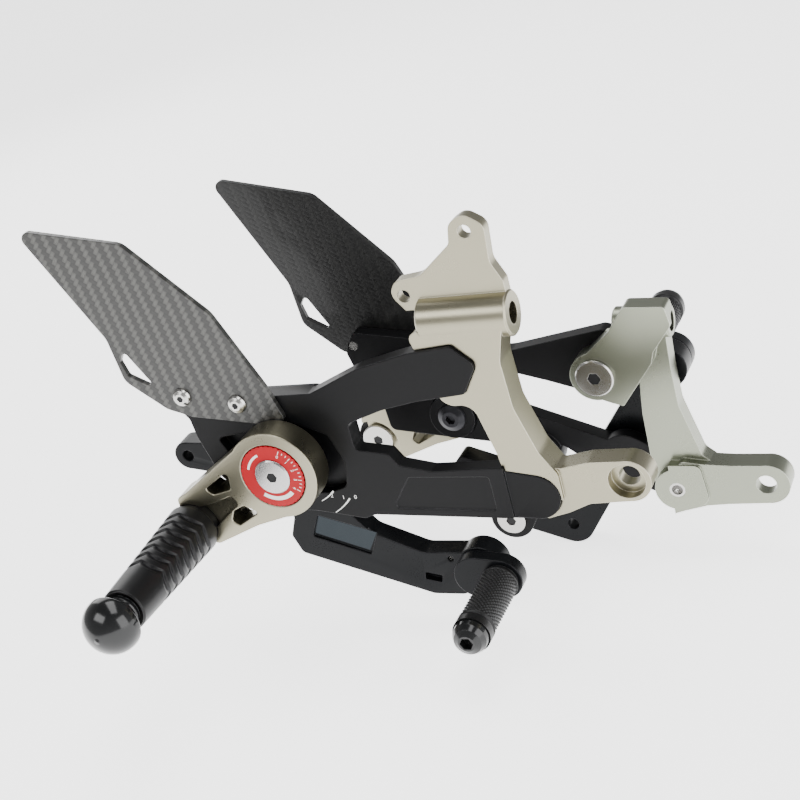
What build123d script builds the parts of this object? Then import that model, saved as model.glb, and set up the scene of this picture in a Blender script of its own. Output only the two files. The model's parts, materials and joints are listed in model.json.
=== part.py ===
"""Pair of adjustable motorcycle footrest assemblies (right: brake side, left: shift side).

Millimetres. +X is the front of the motorcycle, +Z is up, the right assembly's outboard
side faces -Y. Both assemblies are drawn in one layout, whose zero is the centre of the
peg holder's hub on the outboard face of the bracket plate. The left one is then mirrored
and moved beside the right one. At the very end everything is moved so that the origin of
the written parts is the middle of the right frame bolt's bore.
"""
from build123d import *
import math
import os

# ---------------------------------------------------------------- placing the left side
pair_gap = 90.0            # from the right bracket's face to the left bracket's face
left_forward = 52.6        # how far the left assembly lies ahead of the right one
left_lower = 20.3          # and how far below it
left_tilt = 2.2            # degrees, nose down

# ---------------------------------------------------------------- bracket
plate_t = 12.0             # hub plate
arm_t = 9.0                # the two arms
wing_t = 8.0               # wing that carries the heel guard
lobe_step = 1.5            # lower arm's end lies this much behind the face
lower_end_r = 11.8
seat_gap = 0.3             # clearance round the arm ends in the adapter
brake_upper = (93.0, 37.0)     # x, z of the upper arm's screw, right side
brake_lower = (125.0, -28.0)   # x, z of the lower arm's dowel, right side
shift_upper = (87.5, 23.2)
shift_lower = (119.5, -43.0)
joint_r = 4.0              # screw and dowel of the arm ends

# ---------------------------------------------------------------- eccentric and peg holder
eccentric = 4.0            # offset between the pivot bolt and the hub centre
eccentric_dir = -26.0      # degrees, direction from the hub centre to the pivot bolt
hub_r = 23.5
holder_back = -3.6
holder_front = -18.5
cam_r = 15.0
cam_back = -0.3
dial_r = 17.0
dial_t = 2.2
dial_pocket = 2.0
dial_teeth = 40
disc_r = 9.4
disc_t = 1.2
run = 0.08                 # radial clearance of a running fit
holder_turn = -27.0        # degrees, the holder's arm points down and to the rear
peg_reach = 60.5           # hub centre to peg axis
seat_floor = -12.0         # bottom of the peg's seat in the holder
seat_r = 12.6
screw_seat = -10.0         # the holder is thinner here, under the peg screw's head
peg_screw_head_r = 9.2
peg_screw_head_t = 2.6
core_socket_r = 4.0        # clamp disc's stem in the core

# ---------------------------------------------------------------- foot peg
peg_r_root = 14.0
peg_r_end = 11.3
peg_start = 21.0           # ribbed body begins, outboard of the bracket face
peg_end = 93.5             # ribbed body ends
groove_count = 7
groove_first = 9.0         # first groove's distance from the body's start
groove_pitch = 6.6
groove_r = 1.2
neck_r = 8.8
neck_len = 7.0
knob_r = 14.5
knob_len = 18.0
knob_stud_r = 4.0
knob_stud_len = 16.0

# ---------------------------------------------------------------- levers and toe pegs
pivot_r = 6.0              # pivot bolt's shoulder
bolt_end = -8.6            # pivot bolt's tip, inside the eccentric
washer_r = 12.5
washer_t = 2.6
sleeve_r = 8.0             # lever runs on this sleeve
bush_r = 10.0
lever_gap = 1.0            # between the hub plate and the brake lever, and behind the lever
lever_in = plate_t + lever_gap
lever_t = 12.0
lever_rear = (-67.0, -4.0)     # x, z of the push rod's hole
rod_hole_r = 3.1
brake_eye_r = 17.0
cover_screw_r = 1.6        # small screw beside the brake lever's slot
shift_in = -13.5           # outboard face of the shift lever
shift_t = 11.5
toe_arm_t = 7.8
toe_gap = 0.15             # between the toe arm and the lever it is clamped to
toe_joint = (81.0, -75.5)  # brake side, x, z of the toe arm's bolt
toe_reach = 13.5           # toe arm's bolt to toe peg axis
toe_angle = -6.0           # degrees, direction of the toe arm
toe_joint_r = 11.5
toe_arm_r = 11.0
toe_screw_r = 3.0
toe_screw_head_r = 5.4
toe_screw_depth = 3.2
toe_r = 9.6                # knurled toe sleeve
toe_len = 46.0
toe_bolt_r = 4.0
shift_pivot = (24.5, -65.5)    # left side, x, z of the shift lever's pivot
shift_pin_r = 5.0
shift_sleeve_r = 7.5
shift_bush_r = 9.5
shift_elbow = (53.0, -77.0)
shift_joint = (116.5, 16.0)    # left side, x, z of the toe arm's bolt
shift_toe_angle = 165.0
shift_cap_r = 12.0

# ---------------------------------------------------------------- heel guard
guard_t = 3.0
guard_screws = [(-47.0, 38.5), (-17.0, 33.0)]
m5_r = 2.5
button_r = 4.9
button_h = 2.8
guard_hole_play = 0.2

# ---------------------------------------------------------------- frame adapter
adapter_face = 2.0         # adapter's outboard face
adapter_back = 18.0
brake_barrel_r = 10.8
barrel_bore_r = 5.25
barrel_y = 12.0
brake_barrel = (86.0, 131.0, 64.0)     # rear end, front end and height
shift_barrel = (100.0, 128.0, 49.0)
shift_barrel_r = 8.0        # flush with the block's inboard face
brake_lug = (170.0, -22.0)     # x, z of the frame bolt's bore
shift_lug = (164.5, -40.5)
lug_bore_r = 5.1
lug_counterbore_r = 9.0
lug_counterbore_depth = 5.5
lug_r = 10.7
lug_face = 4.0
lug_back = 16.5
cylinder_holes = [(117.0, 105.5), (79.5, 76.5)]    # brake master cylinder, x, z
cylinder_hole_r = 3.2
block_back = 20.0          # left adapter's upper block
tab_face = 11.5
arm_screw_head_r = 9.9
arm_screw_head_t = 2.2
dowel_wall = 1.2


# ================================================================ small helpers
def rounded(corners):
    """A face from (x, z, radius) corners, taken in order."""
    shifted = corners[1:] + corners[:1]
    doubled_area = sum(a[0] * b[1] - b[0] * a[1] for a, b in zip(corners, shifted))
    ordered = corners if doubled_area > 0 else corners[::-1]
    outline = FilletPolyline(*[(x, z) for x, z, r in ordered], radius=[r for x, z, r in ordered], close=True)
    return make_face(outline.edges())


def slab(face, y0, y1):
    """A face drawn in X and Z, as a solid from y0 to y1."""
    return Pos(0, y1, 0) * extrude(Plane.XZ * face, amount=y1 - y0, dir=(0, -1, 0))


def disc(x, z, r):
    return Pos(x, z) * Circle(r)


def rod(x, z, r, y0, y1):
    """A cylinder along Y."""
    return Pos(x, (y0 + y1) / 2, z) * Rot(90, 0, 0) * Cylinder(r, y1 - y0)


def link(a, b, ra, rb):
    """Face of a link: two round ends and their common tangents."""
    return make_hull(disc(*a, ra).edges() + disc(*b, rb).edges())


def turned(profile, x=0, z=0):
    """A body turned about the Y axis from (radius, y) points."""
    face = Plane.XY * make_face(Polyline(*[(r, y, 0) for r, y in profile], close=True))
    return Pos(x, 0, z) * revolve(face, Axis.Y)


def hexagon(x, z, across, y0, y1):
    return slab(Pos(x, z) * RegularPolygon(across / 2, 6, major_radius=False), y0, y1)


def polar(angle, radius):
    return radius * math.cos(math.radians(angle)), radius * math.sin(math.radians(angle))


def moved_by(point, angle, radius):
    dx, dz = polar(angle, radius)
    return point[0] + dx, point[1] + dz


def group(solids):
    return Compound(children=list(solids))


def keep_right(shape):
    return shape


def to_left(shape):
    """Mirrors a right-hand shape and takes it to the left assembly's place."""
    place = Pos(left_forward, pair_gap, -left_lower) * Rot(0, left_tilt, 0)
    return place * mirror(shape, about=Plane.XZ)


pivot = polar(eccentric_dir, eccentric)
lever_stop = lever_in + lever_t + lever_gap
bolt_bore_middle = (lug_face + lug_counterbore_depth + lug_back) / 2
to_origin = Pos(-brake_lug[0], -bolt_bore_middle, -brake_lug[1])


# ================================================================ bracket
brake_outline = [
    (-57, 35, 4), (-50, 47, 4), (-13, 42, 4), (-8, 34.5, 3), (22, 34.5, 6), (50, 46, 14),
    (78, 52.5, 20), (101, 54.5, 3), (111.5, 44, 4), (102.5, 29.5, 3), (77, 27, 10), (58, 23.5, 16),
    (38, 17, 3), (38, 2.5, 3), (55, -0.5, 2), (59, -7, 2), (75, -11, 4), (112, -10.5, 1),
    (112, -38.5, 1), (39, -34.5, 4), (33, -36.5, 2), (8, -31.5, 4), (-20, -29, 10), (-42, -10, 8),
    (-48.5, 14, 6), (-49.5, 24, 2),
]
shift_outline = [
    (-52, 35, 4), (-46, 46.5, 4), (-13, 42, 4), (-8, 34.5, 3), (22, 33, 6), (42, 34, 10),
    (91, 44, 4), (101, 41, 4), (103, 22, 4), (92, 9, 6), (76, 10, 6), (58, 16, 8),
    (39, 21.6, 4), (35, 11, 3), (40, -1, 4), (103, -26, 1), (93, -48, 1), (60, -22, 6),
    (27, -21, 3), (0, -15, 8), (-35, -10, 5), (-37, 6, 6), (-48.5, 16, 6), (-49.5, 26, 2),
]
brake_hub = [
    (-40, 30, 4), (-10, 34.5, 3), (22, 34.5, 4), (37, 22, 4), (37.5, -30, 6),
    (33, -36, 2), (8, -31.5, 4), (-20, -29, 8), (-42, -10, 8),
]
shift_hub = [
    (-38, 30, 4), (-10, 34.5, 3), (22, 34.5, 4), (32, 20, 4), (32, -19, 3), (0, -15, 6), (-34, -10, 4),
]


def lower_end(root, centre):
    """Round end of the lower arm, reaching back into the arm."""
    return link(root, centre, lower_end_r + 1, lower_end_r)


brake_end = lower_end((106, -25), brake_lower)
shift_end = lower_end((92, -29), shift_lower)


def bracket(outline, hub, end, upper, lower):
    """Bracket plate with its two arms and the wing for the guard."""
    body = slab(rounded(outline), 0, arm_t) + slab(end, lobe_step, arm_t)
    body += slab(rounded(hub), arm_t - 1, plate_t)
    wing = rounded([(-60, 20, 0), (-60, 60, 0), (-12, 60, 0), (-12, 31, 0), (-38, 31, 0), (-46, 20, 0)])
    body -= slab(wing, wing_t, plate_t + 1)
    body -= rod(*pivot, pivot_r + run, -1, plate_t + 1)
    for x, z in guard_screws:
        body -= rod(x, z, m5_r, -1, wing_t + 1)
    body -= rod(*upper, joint_r, lobe_step, arm_t + 1)
    return body - rod(*lower, joint_r, lobe_step + 1.5, arm_t + 1)


def brake_bracket():
    """Right bracket, with a recess round the hub and a shallow panel in the lower arm."""
    body = bracket(brake_outline, brake_hub, brake_end, brake_upper, brake_lower)
    recess = rounded([
        (-37, 12.5, 2.5), (8, 19.5, 8), (25, 11.5, 4), (30.5, -4, 8), (27.5, -18, 4),
        (17, -21, 6), (-8, -20, 6), (-31, 1, 4),
    ])
    body -= slab(recess - disc(*pivot, 11), -1, 6)
    panel = rounded([(62, -14, 2), (104, -15, 2), (104, -34, 2), (50, -31, 2)])
    return body - slab(panel, -1, 0.8)


def shift_bracket():
    """Left bracket, with a lobe under the lower arm for the shift lever's pivot."""
    body = bracket(shift_outline, shift_hub, shift_end, shift_upper, shift_lower)
    lobe = link((46, -26), shift_pivot, 13, 12)
    hook = rounded([(-6, -36, 3), (2, -26.4, 3), (20, -33, 4), (34, -29, 0), (34, -50, 0), (15, -62, 0)])
    body += slab(lobe + hook, 0, plate_t)
    body -= rod(*pivot, 12.8, plate_t - 0.6, plate_t + 1)
    return body - rod(*shift_pivot, shift_pin_r, -1, plate_t + 1)


# ================================================================ heel guard
def guard():
    outline = rounded([
        (-112, 135, 4), (-54, 122, 9), (-17, 82, 14), (1, 41, 14), (7, 21.5, 3), (-8, 21, 5),
        (-45, 27, 6), (-58, 32, 8), (-77.5, 49, 8), (-80, 73, 12),
    ])
    window = rounded([(-72.5, 66, 2), (-60, 43.5, 1.5), (-74.5, 52, 2), (-76.5, 60, 2)])
    body = slab(outline - window, -guard_t, 0)
    for x, z in guard_screws:
        body -= rod(x, z, m5_r + guard_hole_play, -guard_t - 1, 1)
    return body


def button_screw(x, z):
    """Button head screw through the guard into the wing."""
    top = -guard_t - button_h
    profile = [
        (0, top), (button_r * 0.55, top), (button_r * 0.86, top + 0.9), (button_r, top + 2.0),
        (button_r, -guard_t), (m5_r, -guard_t), (m5_r, wing_t - 0.4), (0, wing_t - 0.4),
    ]
    return turned(profile, x, z) - hexagon(x, z, 3.0, top - 1, top + 1.8)


# ================================================================ peg holder and eccentric
def holder():
    """Clamping hub with a two-rib arm that ends in the peg's round seat."""
    end = -peg_reach
    window_end = end + 21
    arm = rounded([
        (-8, 21.6, 0), (end + 8.5, 16.8, 5), (end + 2.5, 17, 3), (end - 1.5, 9, 4), (end - 0.5, -8, 4),
        (end + 4.5, -14.6, 4), (-28, -17.2, 12), (-8, -21.6, 0),
    ])
    upper_window = rounded([
        (-20.5, 14.6, 2), (-26.5, 5.8, 2), (window_end + 2, 8.4, 2), (window_end, 13, 1.5),
    ])
    lower_window = rounded([
        (-22, -11.6, 1.2), (-27, -4.6, 2), (window_end + 5.5, -4.2, 1.5), (window_end + 0.5, -8, 1.5),
        (window_end + 2, -12, 1.5),
    ])
    body = slab(arm + disc(0, 0, hub_r) - upper_window - lower_window, holder_front, holder_back)
    spine = rounded([
        (end - 9.5, 13.4, 0), (end + 16.5, 5.2, 4), (-29, 3, 2), (-29, -2.6, 2), (end + 16.5, -5, 4),
        (end - 9.5, -12, 0),
    ])
    body -= slab(spine, holder_front - 1, holder_front + 2.6)
    seat = disc(end, 0, seat_r + 0.1) + Pos(end - 10, 0) * Rectangle(20, 2 * seat_r + 0.2)
    body -= slab(seat, holder_front - 1, seat_floor)
    body -= rod(0, 0, cam_r + run, holder_front - 1, 1)
    body -= rod(0, 0, dial_r + 0.3, holder_front - 1, holder_front + dial_pocket)
    body -= rod(-peg_reach, 0, joint_r + 0.1, seat_floor - 1, 1)
    body -= rod(-peg_reach, 0, 14, screw_seat, 1)
    return Rot(0, holder_turn, 0) * body


def cam():
    """Eccentric core: round outside on the hub centre, bored off centre for the pivot bolt."""
    front = holder_front + dial_pocket
    body = rod(0, 0, cam_r, front, cam_back)
    body -= rod(*pivot, pivot_r + run, -9, 0)
    body -= rod(0, 0, core_socket_r, front - 1, front + 5)
    return body


def dial():
    back = holder_front + dial_pocket
    body = rod(0, 0, dial_r, back - dial_t, back)
    for i in range(dial_teeth):
        x, z = polar(360 / dial_teeth * i, dial_r + 0.1)
        body -= rod(x, z, 0.55, back - dial_t - 1, back + 1)
    return body - rod(0, 0, core_socket_r + 0.1, back - dial_t - 1, back + 1)


def clamp_disc():
    """Flat polished screw that clamps the dial and the holder on the eccentric."""
    under = holder_front + dial_pocket - dial_t
    top = under - disc_t
    stem_end = holder_front + dial_pocket + 4.8
    profile = [
        (0, top), (disc_r - 0.7, top), (disc_r, top + 0.7), (disc_r, under), (core_socket_r, under),
        (core_socket_r, stem_end), (0, stem_end),
    ]
    return turned(profile) - hexagon(0, 0, 5.0, top - 1, top + 3)


# ================================================================ foot peg, built along -Y
def at_peg(shape):
    return Rot(0, holder_turn, 0) * Pos(-peg_reach, 0, 0) * shape


def peg_screw():
    """Big flat head screw from the inboard side of the holder into the peg."""
    top = screw_seat + peg_screw_head_t
    profile = [
        (0, top), (peg_screw_head_r - 0.6, top), (peg_screw_head_r, top - 0.6),
        (peg_screw_head_r, screw_seat), (joint_r, screw_seat),
        (joint_r, -peg_start - 6), (0, -peg_start - 6),
    ]
    return at_peg(turned(profile) - hexagon(0, 0, 5.0, top - 2.4, top + 1))


def peg_body():
    """Root collar and tapered body with rounded grooves and a plain end band."""
    body = turned([
        (0, seat_floor), (seat_r, seat_floor), (seat_r, -peg_start + 1), (peg_r_root, -peg_start),
        (peg_r_end, -peg_end + 0.6), (peg_r_end - 0.6, -peg_end), (0, -peg_end),
    ])
    for i in range(groove_count):
        y = peg_start + groove_first + groove_pitch * i
        r = peg_r_root + (peg_r_end - peg_r_root) * (y - peg_start) / (peg_end - peg_start)
        body -= Pos(0, -y, 0) * Rot(90, 0, 0) * Torus(r + 0.35, groove_r)
    body -= rod(0, 0, joint_r, -peg_start - 6.5, 0)
    return at_peg(body - rod(0, 0, knob_stud_r, -peg_end - 1, -peg_end + knob_stud_len + 1))


def peg_knob():
    """Slider knob on a polished neck."""
    ring = -peg_end - neck_len
    profile = [
        (0, -peg_end), (neck_r, -peg_end), (neck_r, ring), (knob_r - 2.6, ring - 0.8),
        (knob_r, ring - 3.6), (knob_r, ring - 5.2), (knob_r * 0.94, ring - 8.0),
        (knob_r * 0.76, ring - 11.4), (knob_r * 0.47, ring - 14.2), (0, ring - knob_len),
    ]
    return at_peg(turned(profile) + rod(0, 0, knob_stud_r, -peg_end - 1, -peg_end + knob_stud_len))


# ================================================================ levers
def toe_tip(joint, angle):
    return moved_by(joint, angle, toe_reach)


def toe_screw_bore(joint, back):
    """Bore and counterbore for the toe arm's bolt."""
    shank = rod(*joint, toe_screw_r + 0.1, back - 20, back + 1)
    return shank + rod(*joint, toe_screw_head_r + 0.2, back - toe_screw_depth, back + 1)


def brake_lever():
    """Eye on the pivot, rear lug for the push rod and the long front arm."""
    face = lever_in
    back = lever_in + lever_t
    rear_arm = link(lever_rear, (-8, -12), 7.8, 12)
    neck = rounded([(-15, -10, 0), (-16, -43, 0), (12, -46, 0), (19, -8, 0)])
    front = rounded([
        (-13, -36, 3), (-20.5, -54, 3), (-17, -64.5, 4), (52, -90.5, 8), (72, -91, 6),
        (80, -66, 3), (52, -65.5, 8), (26, -53.5, 8), (16, -40, 3),
    ])
    outline = disc(*pivot, brake_eye_r) + rear_arm + neck + front + disc(*toe_joint, toe_joint_r + 1)
    body = slab(outline, face, back)
    pocket = rounded([(-2, -42, 1), (-8, -54.5, 1), (22.5, -66.3, 1), (29, -53, 1)])
    body -= slab(pocket, face - 1, face + 1.6)
    window = Pos(54, -80.5) * Rot(0, 0, -14) * Rectangle(9, 4.2)
    body -= slab(window, face - 1, face + 4)
    body -= rod(*pivot, bush_r, face - 1, back + 1)
    body -= rod(*lever_rear, rod_hole_r, face - 1, back + 1)
    body -= toe_screw_bore(toe_joint, back)
    return body - rod(66, -69.5, cover_screw_r, face - 1, face + 5)


def shift_lever():
    """Cranked lever: eye, elbow with the shift rod's hole, and the rising arm."""
    back = shift_in + shift_t
    eye_arm = link(shift_pivot, shift_elbow, 13, 11.5)
    rise = link(shift_elbow, shift_joint, 11.5, 9.5)
    body = slab(eye_arm + rise + disc(*shift_joint, toe_joint_r), shift_in, back)
    groove = link(moved_by(shift_elbow, 55.7, 22), moved_by(shift_elbow, 55.7, 88), 5, 4)
    body -= slab(groove, shift_in - 1, shift_in + 3)
    body -= rod(*shift_pivot, shift_bush_r, shift_in - 1, back + 1)
    body -= rod(*shift_elbow, rod_hole_r, shift_in - 1, back + 1)
    return body - toe_screw_bore(shift_joint, back)


def toe_arm(joint, angle, face):
    """Adjustable arm, clamped to the lever's outboard face, that carries the toe peg."""
    tip = toe_tip(joint, angle)
    back = face - toe_gap
    front = back - toe_arm_t
    body = slab(link(joint, tip, toe_joint_r, toe_arm_r), front, back)
    body -= rod(*joint, toe_screw_r + run, front + 2, back + 1)
    return body - rod(*tip, toe_bolt_r, front - 1, back + 1)


def toe_arm_bolt(joint, face, thickness):
    """Low head screw from the inboard side, through the lever into the toe arm."""
    back = face + thickness
    tip_end = face - toe_gap - toe_arm_t + 2.2
    under = back - toe_screw_depth + 0.1
    body = rod(*joint, toe_screw_r, tip_end, under + 0.1) + rod(*joint, toe_screw_head_r, under, back - 0.2)
    return body - hexagon(*joint, 4.0, back - 2.2, back + 1)


def toe_sleeve(joint, angle, face):
    """Toe peg's sleeve: plain collar, knurled stretch and end ring."""
    near = face - toe_gap - toe_arm_t - 0.1
    profile = [
        (toe_bolt_r + run, near), (toe_r - 0.8, near), (toe_r - 0.8, near - 2.4), (toe_r, near - 3.2),
        (toe_r, near - toe_len + 7), (toe_r - 0.9, near - toe_len + 6.2),
        (toe_r - 0.9, near - toe_len + 5.2), (toe_r, near - toe_len + 4.6),
        (toe_r, near - toe_len), (toe_bolt_r + run, near - toe_len),
    ]
    return turned(profile, *toe_tip(joint, angle))


def toe_bolt(joint, angle, face):
    """Long screw with a domed head that holds the toe sleeve."""
    tip = toe_tip(joint, angle)
    front = face - toe_gap - toe_arm_t
    seat = front - 0.1 - toe_len
    profile = [
        (0, seat - 7.6), (4.2, seat - 7.6), (7.0, seat - 6.0), (8.6, seat - 3.2), (9.0, seat),
        (toe_bolt_r, seat), (toe_bolt_r, face - toe_gap - 0.4), (0, face - toe_gap - 0.4),
    ]
    return turned(profile, *tip) - hexagon(*tip, 6.0, seat - 9, seat - 3.4)


# ================================================================ pivots
def lever_sleeve(centre, inner, outer, y0, y1):
    return rod(*centre, outer, y0, y1) - rod(*centre, inner, y0 - 1, y1 + 1)


def bushes(centre, inner, outer, y0, y1):
    """Two plain flanged bearings, one in each end of the lever's eye."""
    length = 5.2
    flange = 0.6
    made = []
    for end, step in ((y0, 1), (y1, -1)):
        ring = rod(*centre, outer, min(end, end + step * length), max(end, end + step * length))
        lip = rod(*centre, outer + 2, min(end, end - step * flange), max(end, end - step * flange))
        made.append(ring + lip - rod(*centre, inner + run, y0 - 2, y1 + 2))
    return group(made)


def pivot_bolt():
    """Shoulder bolt: through washer, sleeve and bracket into the eccentric."""
    under = lever_stop + washer_t
    body = rod(*pivot, pivot_r, bolt_end, under) + rod(*pivot, 8, under, under + 5)
    return body - hexagon(*pivot, 8, under + 1.5, under + 6)


def pivot_washer(y0):
    return rod(*pivot, washer_r, y0, y0 + washer_t) - rod(*pivot, pivot_r, y0 - 1, y0 + 4)


def short_bolt(under):
    """Button head bolt of the left eccentric, where no lever shares the pivot."""
    profile = [
        (0, under + 3.0), (4.5, under + 3.0), (7.4, under + 1.4), (7.8, under), (pivot_r, under),
        (pivot_r, bolt_end), (0, bolt_end),
    ]
    return turned(profile, *pivot) - hexagon(*pivot, 5, under + 0.6, under + 4)


def shift_bolt():
    """Flat head screw from the inboard side of the bracket's lobe to the cap outboard."""
    y0 = shift_in - 1.2
    head = [
        (0, plate_t + 2.4), (7.4, plate_t + 2.4), (7.9, plate_t + 1.9), (7.9, plate_t),
        (shift_pin_r, plate_t), (shift_pin_r, y0), (0, y0),
    ]
    return turned(head, *shift_pivot) - hexagon(*shift_pivot, 5, plate_t, plate_t + 3)


def shift_cap():
    """Low round cap that holds the lever on its sleeve."""
    y0 = shift_in - 1.2
    r = shift_cap_r
    return turned([(0, y0 - 3.6), (r - 2, y0 - 3.6), (r, y0 - 1.8), (r, y0), (0, y0)], *shift_pivot)


# ================================================================ frame adapters
def lug_and_lobe(lower, lug, lobe_r):
    """Lobe behind the lower arm's end and the finger with the frame bolt's bore."""
    lx, lz = lower
    fx, fz = lug
    lobe = slab(disc(lx, lz, lobe_r), arm_t, adapter_back)
    finger = rounded([
        (lx + 1, lz + 16, 4), (lx + 14, lz + 14, 6), (fx - 17, fz + lug_r - 0.1, 8),
        (fx + 2, fz + lug_r - 0.1, 0), (fx + 2, fz - lug_r + 0.1, 0), (fx - 20, fz - 11.5, 8),
        (lx + 14, lz - 10, 6), (lx + 1, lz - 13.5, 2),
    ])
    web = rounded([
        (lx - 3, lz + 14, 0), (lx + 13, lz + 14, 4), (lx + 16, lz - 8, 6), (lx - 3, lz - 14, 0),
    ])
    return lobe + slab(finger + disc(fx + 1, fz, lug_r), lug_face, lug_back) + slab(web, arm_t, adapter_back)


def adapter_cuts(body, outline, end, upper, lower, lug):
    """Seats for the arm ends, screw holes, dowel hole and the frame bolt's bore."""
    body -= slab(offset(rounded(outline) + end, seat_gap), -5, arm_t)
    body -= rod(*upper, joint_r + 0.1, arm_t - 1, adapter_back + 8)
    body -= rod(*lower, joint_r, arm_t - 1, adapter_back + 8)
    body -= rod(*lug, lug_bore_r, lug_face - 2, lug_back + 2)
    return body - rod(*lug, lug_counterbore_r, lug_face - 2, lug_face + lug_counterbore_depth)


def tube(x0, x1, z, r):
    return Pos((x0 + x1) / 2, barrel_y, z) * Rot(0, 90, 0) * Cylinder(r, x1 - x0)


def barrel(x0, x1, z, r):
    body = tube(x0, x1, z, r)
    return chamfer(body.edges().filter_by(GeomType.CIRCLE), 0.8)


def brake_adapter():
    """Right adapter: column, barrel, finger and the tab for the brake master cylinder."""
    column = rounded([
        (80, 62, 4), (128, 62, 2), (123, 44, 10), (124, 20, 14), (131, -4, 14), (138, -16, 4),
        (138, -30, 0), (113, -30, 0), (110.5, -4, 12), (104, 24, 8), (90, 22, 8),
    ])
    tab = rounded([
        (72.5, 78, 6), (77, 84.5, 5), (90, 86, 8), (108, 100, 4), (110, 110, 6), (118, 114, 6),
        (127, 108, 6), (125.5, 90, 8), (130, 80, 3), (130, 64, 0), (84, 62, 3),
    ])
    body = slab(column, adapter_face, adapter_back) + barrel(*brake_barrel, brake_barrel_r)
    body += slab(tab, tab_face, adapter_back) + lug_and_lobe(brake_lower, brake_lug, 14.5)
    body = adapter_cuts(body, brake_outline, brake_end, brake_upper, brake_lower, brake_lug)
    for x, z in cylinder_holes:
        body -= rod(x, z, cylinder_hole_r, tab_face - 1, adapter_back + 1)
    return body - tube(60, 160, brake_barrel[2], barrel_bore_r)


def shift_adapter():
    """Left adapter: angular upper block with the barrel, slim column and finger."""
    upper_block = rounded([
        (97.8, 47.5, 3), (107, 60.5, 3), (127.5, 60, 2), (129.5, 50, 3), (119, 36, 2), (117, 29.5, 2),
        (99.8, 6.7, 1), (93.9, 8.5, 1), (80, 14, 0), (78, 30, 0),
    ]) + disc(*shift_upper, 13)
    column = rounded([
        (104, 56, 0), (124, 56, 4), (124, 22, 14), (125, 2, 14), (133, -26, 6), (139, -31, 4),
        (139, -45, 0), (107, -45, 0), (106, -2, 10), (108, 30, 8),
    ])
    body = slab(upper_block, arm_t, block_back) + slab(column, adapter_face, arm_t + 3)
    body += barrel(*shift_barrel, shift_barrel_r) + lug_and_lobe(shift_lower, shift_lug, 11.5)
    body = adapter_cuts(body, shift_outline, shift_end, shift_upper, shift_lower, shift_lug)
    return body - tube(70, 160, shift_barrel[2], barrel_bore_r)


def upper_screw(upper, back):
    """Big flat head screw that draws the upper arm to the adapter."""
    top = back + arm_screw_head_t
    profile = [
        (0, top), (arm_screw_head_r - 0.7, top), (arm_screw_head_r, top - 0.6), (arm_screw_head_r, back),
        (joint_r, back), (joint_r, 2.2), (0, 2.2),
    ]
    return turned(profile, *upper) - hexagon(*upper, 6, back - 1.5, back + 3)


def lower_dowel(lower):
    """Hollow dowel between the lower arm's end and the adapter's lobe."""
    y0 = lobe_step + 1.9
    bore = rod(*lower, joint_r - dowel_wall, y0 - 1, adapter_back + 1)
    return rod(*lower, joint_r, y0, adapter_back) - bore


# ================================================================ build and write
right = {
    "bracket": brake_bracket(),
    "frame_adapter": brake_adapter(),
    "upper_arm_screw": upper_screw(brake_upper, adapter_back),
    "lower_arm_dowel": lower_dowel(brake_lower),
    "lever": brake_lever(),
    "lever_bushes": bushes(pivot, sleeve_r, bush_r, lever_in, lever_in + lever_t),
    "lever_sleeve": lever_sleeve(pivot, pivot_r, sleeve_r, plate_t, lever_stop),
    "pivot_bolt": pivot_bolt(),
    "pivot_washer": pivot_washer(lever_stop),
    "toe_arm": toe_arm(toe_joint, toe_angle, lever_in),
    "toe_arm_bolt": toe_arm_bolt(toe_joint, lever_in, lever_t),
    "toe_sleeve": toe_sleeve(toe_joint, toe_angle, lever_in),
    "toe_bolt": toe_bolt(toe_joint, toe_angle, lever_in),
}
left = {
    "bracket": shift_bracket(),
    "frame_adapter": shift_adapter(),
    "upper_arm_screw": upper_screw(shift_upper, block_back),
    "lower_arm_dowel": lower_dowel(shift_lower),
    "lever": shift_lever(),
    "lever_bushes": bushes(shift_pivot, shift_sleeve_r, shift_bush_r, shift_in, shift_in + shift_t),
    "lever_sleeve": lever_sleeve(shift_pivot, shift_pin_r, shift_sleeve_r, shift_in - 1.2, 0),
    "lever_bolt": shift_bolt(),
    "lever_cap": shift_cap(),
    "pivot_bolt": short_bolt(plate_t - 0.6 + washer_t),
    "pivot_washer": pivot_washer(plate_t - 0.6),
    "toe_arm": toe_arm(shift_joint, shift_toe_angle, shift_in),
    "toe_arm_bolt": toe_arm_bolt(shift_joint, shift_in, shift_t),
    "toe_sleeve": toe_sleeve(shift_joint, shift_toe_angle, shift_in),
    "toe_bolt": toe_bolt(shift_joint, shift_toe_angle, shift_in),
}
both = {
    "heel_guard": guard(),
    "guard_screws": group(button_screw(x, z) for x, z in guard_screws),
    "peg_holder": holder(),
    "eccentric_cam": cam(),
    "eccentric_dial": dial(),
    "clamp_disc": clamp_disc(),
    "peg_screw": peg_screw(),
    "foot_peg": peg_body(),
    "peg_knob": peg_knob(),
}

os.makedirs("parts", exist_ok=True)
for side, own, placed in (("right", right, keep_right), ("left", left, to_left)):
    for name, shape in {**own, **both}.items():
        export_step(to_origin * placed(shape), f"parts/{side}_{name}.step")
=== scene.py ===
import bmesh
import bpy
import json
import math
from mathutils import Matrix, Vector


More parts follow.
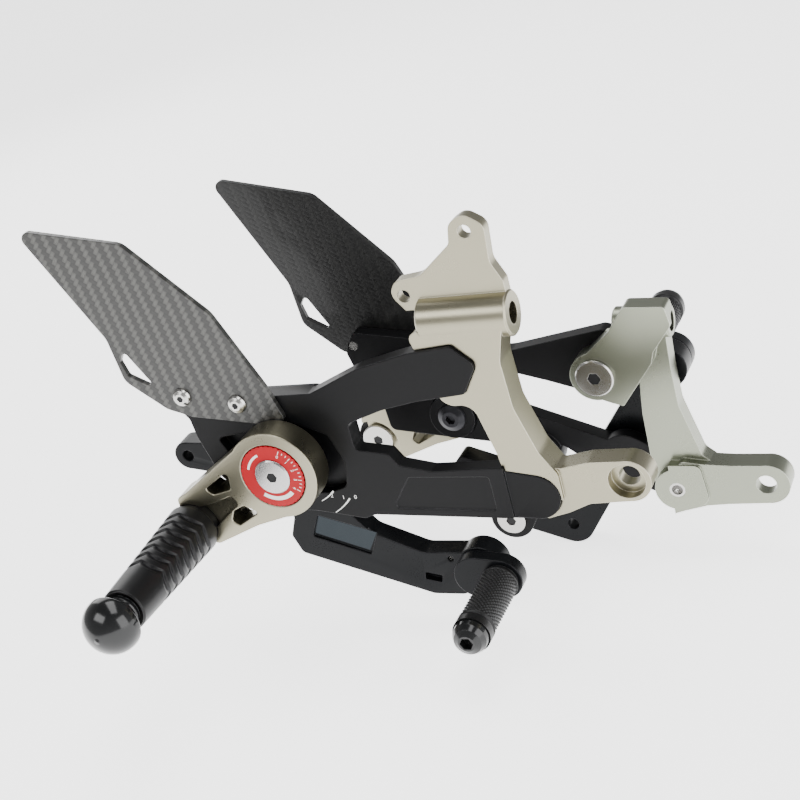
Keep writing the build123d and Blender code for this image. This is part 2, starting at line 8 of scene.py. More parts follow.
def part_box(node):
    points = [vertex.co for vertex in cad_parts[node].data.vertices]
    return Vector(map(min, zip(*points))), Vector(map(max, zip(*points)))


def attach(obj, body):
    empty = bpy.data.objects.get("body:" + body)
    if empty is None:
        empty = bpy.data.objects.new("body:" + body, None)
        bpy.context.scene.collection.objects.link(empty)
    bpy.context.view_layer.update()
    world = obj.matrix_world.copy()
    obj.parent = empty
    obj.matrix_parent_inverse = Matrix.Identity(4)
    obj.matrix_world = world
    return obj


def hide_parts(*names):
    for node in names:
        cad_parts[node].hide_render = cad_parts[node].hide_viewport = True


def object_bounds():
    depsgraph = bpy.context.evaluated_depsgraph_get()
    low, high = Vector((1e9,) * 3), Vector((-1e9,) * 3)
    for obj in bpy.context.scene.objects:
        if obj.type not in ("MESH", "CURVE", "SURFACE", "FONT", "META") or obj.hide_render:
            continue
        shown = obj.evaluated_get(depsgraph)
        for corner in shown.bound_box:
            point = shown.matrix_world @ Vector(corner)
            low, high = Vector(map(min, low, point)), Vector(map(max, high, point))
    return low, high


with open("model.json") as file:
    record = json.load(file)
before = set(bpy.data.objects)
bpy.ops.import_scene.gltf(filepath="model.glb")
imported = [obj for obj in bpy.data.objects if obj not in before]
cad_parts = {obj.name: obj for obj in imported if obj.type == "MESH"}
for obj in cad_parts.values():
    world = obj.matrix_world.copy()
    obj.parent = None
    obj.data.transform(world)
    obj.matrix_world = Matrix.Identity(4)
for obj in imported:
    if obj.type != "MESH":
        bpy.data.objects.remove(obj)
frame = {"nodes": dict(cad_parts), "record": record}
cad_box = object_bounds()
nodes = frame["nodes"]
record = frame["record"]
body_of = {n: b for b, members in record["behaviour"]["bodies"].items() for n in members}
joint_at = {j["name"]: Vector(j["pos_m"]) for j in record["behaviour"]["joints"]}
MM = 0.001


# ---------------------------------------------------------------- material helpers
class Nodes:
    """Short hand for building a node tree."""

    def __init__(self, name):
        self.mat = bpy.data.materials.new(name)
        self.mat.use_nodes = True
        self.tree = self.mat.node_tree
        self.shader = self.tree.nodes["Principled BSDF"]

    def add(self, kind, **values):
        node = self.tree.nodes.new(kind)
        for key, value in values.items():
            setattr(node, key, value)
        return node

    def link(self, a, b):
        self.tree.links.new(a, b)

    def math(self, operation, a, b=None):
        """One Math node. a and b are numbers or sockets."""
        node = self.add("ShaderNodeMath", operation=operation)
        for i, value in enumerate((a, b)):
            if value is None:
                continue
            if isinstance(value, (int, float)):
                node.inputs[i].default_value = value
            else:
                self.link(value, node.inputs[i])
        return node.outputs[0]

    def coords(self, scale=(1, 1, 1), turn=(0, 0, 0)):
        where = self.add("ShaderNodeTexCoord")
        mapping = self.add("ShaderNodeMapping")
        mapping.inputs["Scale"].default_value = scale
        mapping.inputs["Rotation"].default_value = turn
        self.link(where.outputs["Object"], mapping.inputs["Vector"])
        return mapping.outputs[0]

    def noise(self, scale, detail, stretch=(1, 1, 1)):
        node = self.add("ShaderNodeTexNoise")
        node.inputs["Scale"].default_value = scale
        node.inputs["Detail"].default_value = detail
        node.inputs["Roughness"].default_value = 0.55
        self.link(self.coords(stretch), node.inputs["Vector"])
        return node.outputs["Fac"]

    def ramp(self, fac, low, high, start=0.0, end=1.0):
        """Map fac from start..end to low..high."""
        node = self.add("ShaderNodeMapRange")
        node.inputs["From Min"].default_value = start
        node.inputs["From Max"].default_value = end
        node.inputs["To Min"].default_value = low
        node.inputs["To Max"].default_value = high
        self.link(fac, node.inputs["Value"])
        return node.outputs[0]

    def blend(self, fac, a, b):
        """Mix two colours, each a tuple or a socket."""
        node = self.add("ShaderNodeMix", data_type="RGBA")
        self.link(fac, node.inputs["Factor"])
        for socket, value in ((node.inputs["A"], a), (node.inputs["B"], b)):
            if isinstance(value, tuple):
                socket.default_value = (*value, 1)
            else:
                self.link(value, socket)
        return node.outputs["Result"]

    def bump(self, height, strength, distance, edge=0.0):
        """Bump from a height. edge is the radius that sharp edges are shaded with."""
        node = self.add("ShaderNodeBump")
        node.inputs["Strength"].default_value = strength
        node.inputs["Distance"].default_value = distance
        self.link(height, node.inputs["Height"])
        if edge:
            round_edge = self.add("ShaderNodeBevel", samples=4)
            round_edge.inputs["Radius"].default_value = edge
            self.link(round_edge.outputs[0], node.inputs["Normal"])
        self.link(node.outputs[0], self.shader.inputs["Normal"])


def metal(name, color, rough, metallic=1.0, grain=900, spread=0.12, bump=0.05, edge=0.0003,
          shade=0.12, coat=0.0, edge_highlight_color=None, spec=0.5):
    """Turned, milled or anodised metal: fine grain, uneven gloss, rounded edges, and a painted highlight
    along the edges when an edge highlight colour is given.
    """
    n = Nodes(name)
    fine = n.noise(grain, 3.0)
    cloudy = n.noise(38, 4.0)
    low = tuple(c * (1 - shade) for c in color)
    high = tuple(min(c * (1 + shade), 1) for c in color)
    tone = n.blend(n.math("MULTIPLY", fine, cloudy), low, high)
    # painted highlight: the colour is lightened towards a brighter edge colour along sharp edges, patchy by
    # cloudy noise
    if edge_highlight_color:
        round_edge = n.add("ShaderNodeBevel", samples=6)
        round_edge.inputs["Radius"].default_value = edge * 0.9
        plain = n.add("ShaderNodeNewGeometry")
        dot = n.add("ShaderNodeVectorMath", operation="DOT_PRODUCT")
        n.link(round_edge.outputs[0], dot.inputs[0])
        n.link(plain.outputs["True Normal"], dot.inputs[1])
        painted_edge_highlight = n.ramp(dot.outputs["Value"], 1.0, 0.0, 0.86, 0.97)
        tone = n.blend(n.math("MULTIPLY", painted_edge_highlight, n.ramp(cloudy, 0.45, 1.0, 0.35, 0.6)), tone, edge_highlight_color)
    n.link(tone, n.shader.inputs["Base Color"])
    uneven = n.math("ADD", n.math("MULTIPLY", fine, 0.5), n.math("MULTIPLY", cloudy, 0.5))
    gloss = n.ramp(uneven, max(rough - spread, 0.03), rough + spread, 0.3, 0.7)
    n.link(gloss, n.shader.inputs["Roughness"])
    n.shader.inputs["Metallic"].default_value = metallic
    n.shader.inputs["Specular IOR Level"].default_value = spec
    n.shader.inputs["Coat Weight"].default_value = coat
    n.shader.inputs["Coat Roughness"].default_value = 0.12
    n.bump(fine, bump, 0.0002, edge)
    return n.mat


def twill(name, light, dark, tow, gloss, coat):
    """2 by 2 twill: each tow is rounded and floats over two others. Its colour is a painted sheen, brighter
    on warp tows than on weft tows, with painted shade where a tow dives under.

    tow is a tow's width in metres. The weave lies in the XZ plane.
    """
    n = Nodes(name)
    place = n.add("ShaderNodeSeparateXYZ")
    n.link(n.coords(turn=(0, math.radians(-38), 0)), place.inputs[0])
    u = n.math("DIVIDE", place.outputs["X"], tow)
    v = n.math("DIVIDE", place.outputs["Z"], tow)
    column = n.math("FLOOR", u)
    row = n.math("FLOOR", v)

    def wrapped(value):
        node = n.add("ShaderNodeMath", operation="FLOORED_MODULO")
        n.link(value, node.inputs[0])
        node.inputs[1].default_value = 4.0
        return node.outputs[0]

    warp = n.math("LESS_THAN", wrapped(n.math("ADD", column, row)), 2.0)
    weft = n.math("SUBTRACT", 1.0, warp)
    along_warp = n.math("SINE", n.math("MULTIPLY", wrapped(n.math("ADD", v, column)), math.pi / 2))
    weft_wave = n.math("SINE", n.math("MULTIPLY", wrapped(n.math("ADD", u, row)), math.pi / 2))
    along_weft = n.math("MULTIPLY", weft_wave, -1.0)
    across_warp = n.math("SINE", n.math("MULTIPLY", n.math("FRACT", u), math.pi))
    across_weft = n.math("SINE", n.math("MULTIPLY", n.math("FRACT", v), math.pi))
    fibre_warp = n.noise(1.0, 2.0, (5200, 60, 420))
    fibre_weft = n.noise(1.0, 2.0, (420, 60, 5200))

    def height(across, along, keep):
        crown = n.math("POWER", n.math("MAXIMUM", across, 0.001), 0.5)
        dive = n.math("POWER", n.math("MAXIMUM", along, 0.001), 0.5)
        return n.math("MULTIPLY", n.math("MULTIPLY", crown, dive), keep)

    raised = n.math("ADD", height(across_warp, along_warp, warp), height(across_weft, along_weft, weft))
    fibres = n.math("ADD", n.math("MULTIPLY", fibre_warp, warp), n.math("MULTIPLY", fibre_weft, weft))
    # painted sheen: warp tows are coloured brighter than weft tows, standing for how each reflects the light
    painted_tow_sheen = n.math("ADD", n.math("MULTIPLY", warp, 0.62), 0.22)
    painted_sheen_and_shade = n.math("MULTIPLY", painted_tow_sheen, n.ramp(fibres, 0.72, 1.2, 0.3, 0.7))
    # painted shade: each tow is coloured darker where it dives under the next
    painted_sheen_and_shade = n.math("MULTIPLY", painted_sheen_and_shade, n.ramp(raised, 0.45, 1.0))
    n.link(n.blend(painted_sheen_and_shade, dark, light), n.shader.inputs["Base Color"])
    n.link(n.ramp(fibres, gloss - 0.06, gloss + 0.1, 0.3, 0.7), n.shader.inputs["Roughness"])
    n.shader.inputs["Metallic"].default_value = 0.35
    n.shader.inputs["Coat Weight"].default_value = coat
    n.shader.inputs["Coat Roughness"].default_value = 0.08
    n.bump(raised, 0.2, 0.00025, 0.0004)
    return n.mat


BLACK = dict(grain=1500, spread=0.06, bump=0.03, shade=0.25, edge=0.0004, spec=0.13)
SATIN = dict(grain=1300, spread=0.05, bump=0.02, edge=0.0007)
mats = {
    "black_anodised": metal("black_anodised", (0.0055, 0.0055, 0.006), 0.34, 0.2,
                            edge_highlight_color=(0.10, 0.10, 0.105), **BLACK),
    "black_lever": metal("black_lever", (0.0065, 0.007, 0.008), 0.3, 0.2,
                         edge_highlight_color=(0.11, 0.11, 0.12), **BLACK),
    "champagne_anodised": metal("champagne_anodised", (0.30, 0.28, 0.205), 0.3, shade=0.06,
                                edge_highlight_color=(0.62, 0.59, 0.48), **SATIN),
    "silver_anodised": metal("silver_anodised", (0.255, 0.268, 0.212), 0.3, shade=0.07,
                             edge_highlight_color=(0.58, 0.60, 0.52), **SATIN),
    "red_anodised": metal("red_anodised", (0.36, 0.0, 0.005), 0.45, 0.0, grain=1400, spread=0.05,
                          shade=0.1, spec=0.25),
    "bright_steel": metal("bright_steel", (0.50, 0.49, 0.47), 0.2, grain=1000, spread=0.05, shade=0.05),
    "polished_steel": metal("polished_steel", (0.48, 0.47, 0.46), 0.22, grain=1300, spread=0.06, shade=0.04),
    "dark_steel": metal("dark_steel", (0.03, 0.03, 0.034), 0.34, 0.8, grain=1200, spread=0.06, shade=0.2),
    "black_peg": metal("black_peg", (0.007, 0.007, 0.0075), 0.34, 0.25, edge=0.0, grain=1800, spread=0.06,
                       bump=0.04, shade=0.3, spec=0.3),
    "knob_black": metal("knob_black", (0.008, 0.0085, 0.009), 0.16, 0.2, grain=1300, spread=0.04,
                        bump=0.01, shade=0.25, coat=0.3, spec=0.35),
    "toe_grey": metal("toe_grey", (0.016, 0.016, 0.0165), 0.36, 0.5, edge=0.0, grain=1500, spread=0.06,
                      shade=0.25, spec=0.4),
    # painted sheen: a lighter, bluish, glossier dark metal for the lever pocket's floor
    "pocket_painted_sheen": metal("pocket_painted_sheen", (0.022, 0.027, 0.031), 0.2, 0.9, edge=0.0, spread=0.05, shade=0.1),
    # painted shade: near-black sheets put inside screw sockets
    "socket_painted_shade": metal("socket_painted_shade", (0.012, 0.012, 0.013), 0.5, 0.6, edge=0.0, shade=0.2),
    "bronze": metal("bronze", (0.55, 0.38, 0.18), 0.3, shade=0.1),
    "carbon": twill("carbon", (0.085, 0.084, 0.078), (0.008, 0.008, 0.0075), 0.0023, 0.32, 0.16),
    # painted shade: a much darker copy of the carbon weave for the far guard
    "carbon_shaded": twill("carbon_shaded", (0.010, 0.010, 0.0095), (0.003, 0.003, 0.003), 0.0023, 0.36, 0.1),
    "paint_white": metal("paint_white", (0.80, 0.80, 0.78), 0.5, 0.0, edge=0.0, bump=0.02, shade=0.04),
}


def give(obj, mat):
    """Put one material in every slot of an object."""
    if not obj.material_slots:
        obj.data.materials.append(mat)
    for place in obj.material_slots:
        place.material = mat


slot_of = {s["node"]: s["material_slot"] for s in record["subparts"]}
for name, obj in nodes.items():
    give(obj, mats[slot_of[name]])
# the left heel guard gets the darker carbon copy as painted shade
give(nodes["left_heel_guard"], mats["carbon_shaded"])


# ---------------------------------------------------------------- mesh helpers
def piece(name, verts, faces, mat, body, smooth=True):
    """A new mesh piece that rides on a body."""
    mesh = bpy.data.meshes.new(name)
    mesh.from_pydata([tuple(v) for v in verts], [], faces)
    mesh.validate()
    mesh.update()
    mesh.materials.append(mats[mat])
    if smooth:
        mesh.shade_smooth()
    obj = bpy.data.objects.new(name, mesh)
    bpy.context.collection.objects.link(obj)
    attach(obj, body)
    return obj


def sheet_of_rings(rings):
    """Vertices and faces of a closed skin through rings that all have the same number of points."""
    count = len(rings[0])
    verts = [p for ring in rings for p in ring]
    faces = []
    for i in range(len(rings) - 1):
        for j in range(count):
            k = (j + 1) % count
            faces.append((i * count + j, i * count + k, (i + 1) * count + k, (i + 1) * count + j))
    faces.append(tuple(range(count)))
    faces.append(tuple(reversed(range((len(rings) - 1) * count, len(rings) * count))))
    return verts, faces


def lathe(centre, outward, stations, radius_at, around):
    """A turned skin along Y. stations are distances from centre; radius_at(distance, angle) in metres."""
    rings = []
    for s in stations:
        ring = []
        for j in range(around):
            a = 2 * math.pi * j / around
            r = radius_at(s, a)
            ring.append((centre[0] + r * math.cos(a), centre[1] + outward * s, centre[2] + r * math.sin(a)))
        rings.append(ring)
    return sheet_of_rings(rings)


def along(profile, s):
    """Radius from (distance, radius) pairs by straight runs."""
    for (s0, r0), (s1, r1) in zip(profile, profile[1:]):
        if s <= s1:
            t = (s - s0) / (s1 - s0) if s1 > s0 else 1.0
            return r0 + (r1 - r0) * t
    return profile[-1][1]


def steps(start, end, step):
    """Evenly spaced numbers from start to end, about a step apart."""
    count = max(int(round((end - start) / step)), 1)
    return [start + (end - start) * i / count for i in range(count + 1)]


SIDES = {"right": -1, "left": 1}      # which way along Y is outboard


def middle(node):
    """Middle of a node's box."""
    lo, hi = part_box(node)
    return [(lo[i] + hi[i]) / 2 for i in range(3)]


def root_of(node, outward):
    """Middle of a turned node's inboard end, and its length along Y."""
    lo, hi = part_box(node)
    x, _, z = middle(node)
    return (x, hi[1] if outward < 0 else lo[1], z), hi[1] - lo[1]


# ---------------------------------------------------------------- machined edges
FLAT_WITHIN = 0.8      # degrees, faces this close to one plane are merged first
SHARP_FROM = 35        # degrees between faces, from which an edge is broken
CREASE_FROM = 22       # degrees between faces, from which shading keeps a crease
WELD = 1e-6


def chamfered(node, width):
    """A copy of a machined part whose sharp edges are broken by a small rounded chamfer."""
    source = nodes[node]
    bm = bmesh.new()
    bm.from_mesh(source.data)
    bmesh.ops.remove_doubles(bm, verts=bm.verts, dist=WELD)
    bmesh.ops.dissolve_limit(bm, angle_limit=math.radians(FLAT_WITHIN), verts=bm.verts, edges=bm.edges)
    limit = math.radians(SHARP_FROM)
    sharp = [e for e in bm.edges if len(e.link_faces) == 2 and e.calc_face_angle(0) > limit]
    bmesh.ops.bevel(bm, geom=sharp, offset=width, offset_type="OFFSET", segments=2, profile=0.5,
                    affect="EDGES", clamp_overlap=False)
    mesh = bpy.data.meshes.new(f"{node}_machined")
    bm.to_mesh(mesh)
    bm.free()
    mesh.shade_smooth()
    mesh.set_sharp_from_angle(angle=math.radians(CREASE_FROM))
    mesh.materials.append(source.material_slots[0].material)
    obj = bpy.data.objects.new(f"{node}_machined", mesh)
    obj.matrix_world = source.matrix_world
    bpy.context.collection.objects.link(obj)
    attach(obj, body_of[node])
    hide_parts(node)


# parts with milled edges, and how wide the edges are broken
MACHINED = {"bracket": 0.45 * MM, "peg_holder": 0.45 * MM, "lever": 0.45 * MM,
            "toe_arm": 0.5 * MM, "heel_guard": 0.25 * MM}


# ---------------------------------------------------------------- foot pegs
def foot_peg(side, outward):
    """Tapered body on a collar, with rows of scallops that fall steeply and rise slowly."""
    node = f"{side}_foot_peg"
    root, length = root_of(node, outward)
    collar, r_collar, r_root, r_end = 9 * MM, 12.6 * MM, 14.0 * MM, 11.3 * MM
    first, pitch, rows = collar + 7.5 * MM, 6.7 * MM, 7
    shoulder, slope, end_chamfer = 0.5 * MM, 1.3 * MM, 0.8 * MM
    fall, rise, deepest, swing = 0.7 * MM, 3.2 * MM, 1.35 * MM, 1.9 * MM

    def radius(s, a):
        if s < collar - shoulder:
            return r_collar
        if s < collar - shoulder + slope:
            return r_collar + (r_root - r_collar) * (s - collar + shoulder) / slope
        base = r_root + (r_end - r_root) * (s - collar) / (length - collar)
        if s > length - end_chamfer:
            return base - (s - length + end_chamfer)
        lobe = 3 * (a - math.pi / 6)
        wave = swing * abs(math.sin(lobe))
        depth = deepest * (1 - 0.45 * abs(math.cos(lobe)) ** 6)
        cut = 0.0
        for i in range(rows):
            d = s - (first + pitch * i + wave)
            if -fall < d < 0:
                cut = max(cut, depth * (d + fall) / fall)
            elif 0 <= d < rise:
                cut = max(cut, depth * (1 - d / rise) ** 1.2)
        return base - cut

    stations = steps(0.0, collar - shoulder, 1 * MM) + steps(collar - 0.3 * MM, length, 0.3 * MM)
    verts, faces = lathe(root, outward, stations, radius, 240)
    obj = piece(f"{side}_peg_body", verts, faces, "black_peg", body_of[node])
    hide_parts(node)


def peg_knob(side, outward):
    """Glossy mushroom knob on a grooved neck."""
    node = f"{side}_peg_knob"
    lo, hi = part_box(node)
    x, _, z = middle(node)
    tip = lo[1] if outward < 0 else hi[1]
    neck_len, cap_len, r_neck, r_cap = 7 * MM, 18 * MM, 8.8 * MM, 14.5 * MM
    start = tip - outward * (neck_len + cap_len)
    groove_from, groove_to, groove_depth = 2.2 * MM, 3.0 * MM, 0.5 * MM
    underside, tip_r = 0.16, 0.05 * MM      # share of the cap that is its underside; flat at the tip

    def radius(s, a):
        if s <= neck_len:
            return r_neck - (groove_depth if groove_from < s < groove_to else 0.0)
        t = (s - neck_len) / cap_len
        if t < underside:
            return r_neck + (r_cap - r_neck) * math.sin(math.pi / 2 * t / underside) ** 0.6
        u = (t - underside) / (1 - underside)
        return max(r_cap * (1 - u ** 2.3) ** 0.62, tip_r)

    stations = steps(0, neck_len, 0.3 * MM) + steps(neck_len + 0.05 * MM, neck_len + cap_len, 0.25 * MM)
    verts, faces = lathe((x, start, z), outward, stations, radius, 120)
    obj = piece(f"{side}_knob_skin", verts, faces, "knob_black", body_of[node])
    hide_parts(node)


# ---------------------------------------------------------------- toe pegs
def toe_sleeve(side, outward):
    """Diamond knurled sleeve with a thinner root, a groove and an end ring."""
    node = f"{side}_toe_sleeve"
    root, length = root_of(node, outward)
    r0 = 9.6 * MM
    turns, pitch = 26, 2.32 * MM
    knurl_from, knurl_to = 3.4 * MM, length - 7.2 * MM
    root_length, root_step, knurl_depth, groove_depth = 2.4 * MM, 0.8 * MM, 0.75 * MM, 0.9 * MM
    groove = [(length - 7 * MM, r0), (length - 6.2 * MM, r0 - groove_depth),
              (length - 5.2 * MM, r0 - groove_depth), (length - 4.6 * MM, r0)]

    def radius(s, a):
        if s < root_length:
            return r0 - root_step
        if knurl_from < s < knurl_to:
            p = a * turns / (2 * math.pi)
            q = s / pitch
            one = abs((p + q) % 1 - 0.5) * 2
            two = abs((p - q) % 1 - 0.5) * 2
            return r0 - knurl_depth * (1 - min(one, two)) ** 0.8
        return along(groove, s) if s >= groove[0][0] else r0

    stations = steps(0, knurl_from, 0.5 * MM)
    stations += steps(knurl_from + 0.01 * MM, knurl_to, 0.2 * MM)
    stations += steps(knurl_to + 0.05 * MM, length, 0.3 * MM)
    verts, faces = lathe(root, outward, stations, radius, 234)
    obj = piece(f"{side}_toe_knurl", verts, faces, "toe_grey", body_of[node])
    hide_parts(node)


# ---------------------------------------------------------------- marks
PRINT_LIFT = 0.03 * MM     # how far a print stands off the metal


def arc_mark(name, centre, y, r0, r1, start, end, body, taper=0.0):
    """Thin printed arc in an XZ plane, angles in degrees. taper thins its start."""
    verts, faces = [], []
    count = max(int(abs(end - start) / 2), 6)
    for i in range(count + 1):
        t = i / count
        a = math.radians(start + (end - start) * t)
        shrink = taper * (1 - t) * (r1 - r0) / 2
        for r in (r0 + shrink, r1 - shrink):
            verts.append((centre[0] + r * math.cos(a), y, centre[2] + r * math.sin(a)))
    for i in range(count):
        faces.append((2 * i, 2 * i + 2, 2 * i + 3, 2 * i + 1))
    piece(name, verts, faces, "paint_white", body, smooth=False)


def numeral(name, text, centre, y, size, turn, body):
    """Small printed number lying in an XZ plane, read from the outboard side."""
    curve = bpy.data.curves.new(name, "FONT")
    curve.body = text
    curve.size = size
    curve.align_x = "CENTER"
    curve.align_y = "CENTER"
    curve.extrude = PRINT_LIFT
    curve.materials.append(mats["paint_white"])
    obj = bpy.data.objects.new(name, curve)
    place = Matrix.Translation((centre[0], y, centre[2]))
    stand_up = Matrix.Rotation(math.radians(90), 4, "X")
    obj.matrix_world = place @ stand_up @ Matrix.Rotation(math.radians(turn), 4, "Z")
    bpy.context.collection.objects.link(obj)
    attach(obj, body)


def polar(centre, radius, degrees):
    """Point at a radius and angle round a centre, in an XZ plane."""
    a = math.radians(degrees)
    return (centre[0] + radius * math.cos(a), centre[1], centre[2] + radius * math.sin(a))


def dial_marks(side, outward):
    """Two plain arcs and a row of ticks on each dial, and numbers on the right one."""
    node = f"{side}_eccentric_dial"
    body = body_of[node]
    lo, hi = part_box(node)
    centre = middle(node)
    y = (lo[1] if outward < 0 else hi[1]) + outward * PRINT_LIFT
    first_tick, tick_turn, tick_outer, tick_half = 62, 8, 15.6 * MM, 0.7
    arc_mark(f"{side}_dial_arc_low", centre, y, 11.2 * MM, 13.4 * MM, 232, 312, body)
    arc_mark(f"{side}_dial_arc_left", centre, y, 12.4 * MM, 13.6 * MM, 112, 160, body)
    for i in range(13):
        a = first_tick - tick_turn * i
        inner = tick_outer - (2.0 * MM if i % 3 == 0 else 1.2 * MM)
        arc_mark(f"{side}_dial_tick_{i}", centre, y, inner, tick_outer, a - tick_half, a + tick_half, body)
    if outward < 0:
        for i in range(5):
            a = first_tick - 3 * tick_turn * i
            at = polar(centre, 12.2 * MM, a)
            numeral(f"{side}_dial_number_{i}", str(i), at, y, 2.4 * MM, a - 90, body)


def bracket_marks():
    """Two position arcs and small numbers on the right bracket, in front of and below the hub."""
    hub = joint_at["right_holder_turn"]
    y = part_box("right_bracket")[0][1] - PRINT_LIFT
    body = body_of["right_bracket"]
    arc_mark("bracket_arc_outer", hub, y, 36.4 * MM, 37.3 * MM, -62, -42, body, taper=0.6)
    arc_mark("bracket_arc_inner", hub, y, 27.6 * MM, 28.5 * MM, -66, -46, body, taper=0.6)
    for i in range(3):
        at = polar(hub, (39 - 5 * i) * MM, -38 - 7 * i)
        numeral(f"bracket_number_{i}", str(i), at, y, 3.0 * MM, -6, body)


# ---------------------------------------------------------------- screws, sockets and the lever's pocket
def cover_screw():
    """Small bright screw sunk in the brake lever beside its slot."""
    hinge = joint_at["right_toe_arm_turn"]
    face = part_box("right_lever")[0][1]
    x, z = hinge[0] - 15 * MM, hinge[2] + 6 * MM
    root = face + 1.9 * MM
    profile = [(0.0, 1.4 * MM), (1.0 * MM, 1.5 * MM), (1.3 * MM, 1.3 * MM), (1.5 * MM, 0.8 * MM)]
    verts, faces = lathe((x, root, z), -1, [s for s, r in profile], lambda s, a: along(profile, s), 32)
    piece("cover_screw", verts, faces, "bright_steel", body_of["right_lever"])


# the socket's dark floor is a sheet of painted shade
SOCKET_SINK = 0.35 * MM    # how deep the dark floor lies under the screw's face
SOCKET_PLAY = 0.97         # the floor's width as a share of the socket's


def socket(name, node, centre, outward, across):
    """Dark sheet of painted shade in a hexagon socket that is across millimetres wide, standing for the
    socket's shaded floor.
    """
    lo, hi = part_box(node)
    y = (lo[1] if outward < 0 else hi[1]) - outward * SOCKET_SINK
    r = across * MM / math.sqrt(3) * SOCKET_PLAY
    verts = [polar((centre[0], y, centre[2]), r, 30 + 60 * i) for i in range(6)]
    piece(name, verts, [tuple(range(6))], "socket_painted_shade", body_of[node],
          smooth=False)


def sockets(side, outward):
    """Sockets that show: outboard on the clamp disc and guard screws, inboard on the arm and peg screws."""
    socket(f"{side}_disc_socket", f"{side}_clamp_disc", middle(f"{side}_clamp_disc"), outward, 5.0)
    socket(f"{side}_arm_socket", f"{side}_upper_arm_screw", middle(f"{side}_upper_arm_screw"), -outward, 6.0)
    socket(f"{side}_peg_socket", f"{side}_peg_screw", middle(f"{side}_peg_screw"), -outward, 5.0)
    lo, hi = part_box(f"{side}_guard_screws")
    head = 4.9 * MM      # radius
    for i, centre in enumerate(((lo[0] + head, 0, hi[2] - head), (hi[0] - head, 0, lo[2] + head))):
        socket(f"{side}_guard_socket_{i}", f"{side}_guard_screws", centre, outward, 3.4)


def lever_pocket():
    """Milled floor of the brake lever's pocket, its corners given from the lever's pivot, coloured lighter,
    bluer and glossier than the lever as a painted sheen.
    """
    hinge = joint_at["right_brake_lever_turn"]
    depth = 1.5 * MM
    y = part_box("right_lever")[0][1] + depth
    corners = [(-6.4, -41.2), (-10.9, -51.6), (18.0, -62.7), (24.6, -52.2)]
    verts = [(hinge[0] + x * MM, y, hinge[2] + z * MM) for x, z in corners]
    piece("lever_pocket_floor", verts, [(0, 1, 2, 3)], "pocket_painted_sheen", body_of["right_lever"],
          smooth=False)


def dowel_end():
    """Bright end of the left dowel, seen in the adapter."""
    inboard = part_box("left_lower_arm_dowel")[0][1]
    x, _, z = middle("left_lower_arm_dowel")
    sink, wide, narrow = 1.2 * MM, 2.78 * MM, 2.5 * MM
    verts, faces = lathe((x, inboard + sink, z), -1, [0.0, 0.5 * MM, 0.8 * MM],
                         lambda s, a: wide if s < 0.6 * MM else narrow, 40)
    piece("left_dowel_end", verts, faces, "bright_steel", body_of["left_lower_arm_dowel"])


for side, outward in SIDES.items():
    for part, width in MACHINED.items():
        chamfered(f"{side}_{part}", width)
    foot_peg(side, outward)
    peg_knob(side, outward)
    toe_sleeve(side, outward)
    dial_marks(side, outward)
    sockets(side, outward)
socket("left_lever_bolt_socket", "left_lever_bolt", middle("left_lever_bolt"), -1, 5.0)
bracket_marks()
cover_screw()
lever_pocket()
dowel_end()


# ---------------------------------------------------------------- floor, light and camera
floor_z = cad_box[0][2] - 0.5 * MM
floor_half = 6.0
corners = [(x * floor_half, y * floor_half, floor_z) for x, y in ((-1, -1), (1, -1), (1, 1), (-1, 1))]
mesh = bpy.data.meshes.new("floor")
mesh.from_pydata(corners, [], [(0, 1, 2, 3)])
paper = Nodes("paper")
paper.shader.inputs["Emission Color"].default_value = (1, 1, 1, 1)
paper.shader.inputs["Base Color"].default_value = (0.85, 0.85, 0.85, 1)
paper.shader.inputs["Emission Strength"].default_value = 2.4
paper.link(paper.ramp(paper.noise(4, 2), 0.86, 0.92), paper.shader.inputs["Roughness"])
mesh.materials.append(paper.mat)
floor = bpy.data.objects.new("floor", mesh)
bpy.context.collection.objects.link(floor)

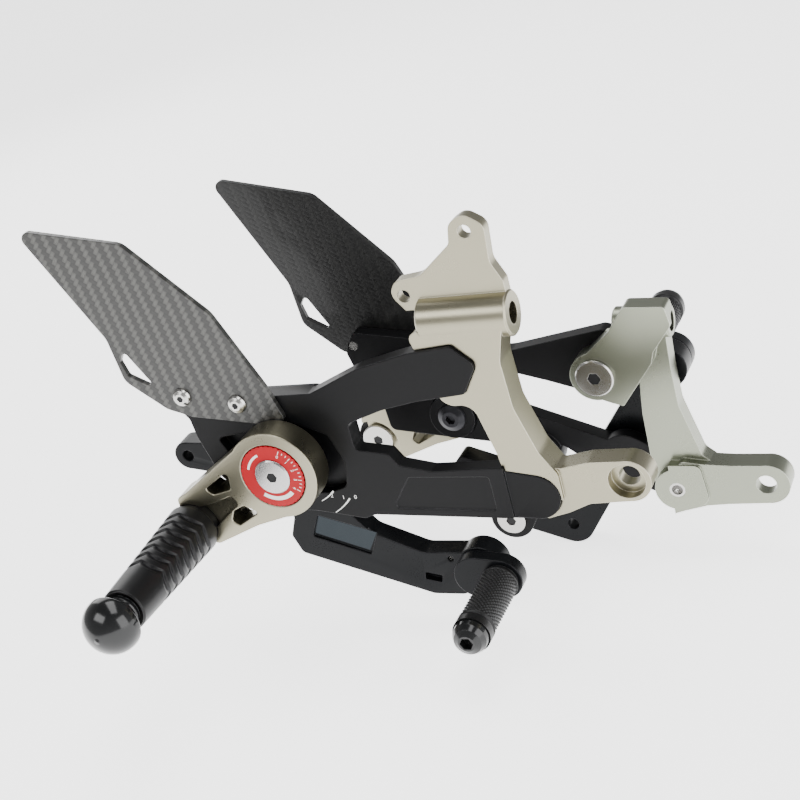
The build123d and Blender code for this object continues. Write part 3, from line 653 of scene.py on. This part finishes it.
world = bpy.data.worlds.new("studio")
bpy.context.scene.world = world
world.use_nodes = True
tree = world.node_tree
back = tree.nodes["Background"]
where = tree.nodes.new("ShaderNodeTexCoord")
split = tree.nodes.new("ShaderNodeSeparateXYZ")
ramp = tree.nodes.new("ShaderNodeValToRGB")
tree.links.new(where.outputs["Generated"], split.inputs[0])
tree.links.new(split.outputs["Z"], ramp.inputs[0])
tree.links.new(ramp.outputs[0], back.inputs["Color"])
ramp.color_ramp.elements[0].position = 0.0
ramp.color_ramp.elements[0].color = (0.9, 0.9, 0.9, 1)
ramp.color_ramp.elements[1].position = 0.9
ramp.color_ramp.elements[1].color = (0.30, 0.30, 0.305, 1)
back.inputs["Strength"].default_value = 0.85


def softbox(name, where, at, size, power):
    lamp = bpy.data.lights.new(name, "AREA")
    lamp.shape = "RECTANGLE"
    lamp.size, lamp.size_y = size
    lamp.energy = power
    obj = bpy.data.objects.new(name, lamp)
    obj.location = where
    obj.rotation_euler = (Vector(at) - Vector(where)).to_track_quat("-Z", "Y").to_euler()
    bpy.context.collection.objects.link(obj)


aim = [(cad_box[0][i] + cad_box[1][i]) / 2 for i in range(3)]
# name, place, target, size in metres, watts
softbox("key", (aim[0] - 0.5, aim[1] - 0.9, aim[2] + 0.9), aim, (0.9, 0.5), 8)
softbox("top", (aim[0] + 0.1, aim[1] + 0.1, aim[2] + 1.1), aim, (1.3, 0.5), 10)
softbox("front", (aim[0] + 1.1, aim[1] - 0.4, aim[2] + 0.35), aim, (0.9, 0.9), 12)
softbox("rear", (aim[0] - 0.9, aim[1] + 0.8, aim[2] + 0.6), aim, (0.8, 0.8), 6)

camera_data = bpy.data.cameras.new("camera")
camera_data.sensor_width = 36
camera_data.lens = 75.18
camera = bpy.data.objects.new("camera", camera_data)
right = Vector((0.903, 0.3545, -0.2428))
up = Vector((0.0491, 0.4762, 0.8779))
backward = Vector((0.4268, -0.8047, 0.4126))
turn = Matrix((right, up, backward)).transposed().to_4x4()
camera.matrix_world = Matrix.Translation((0.23635, -0.64846, 0.37648)) @ turn
bpy.context.collection.objects.link(camera)
bpy.context.scene.camera = camera
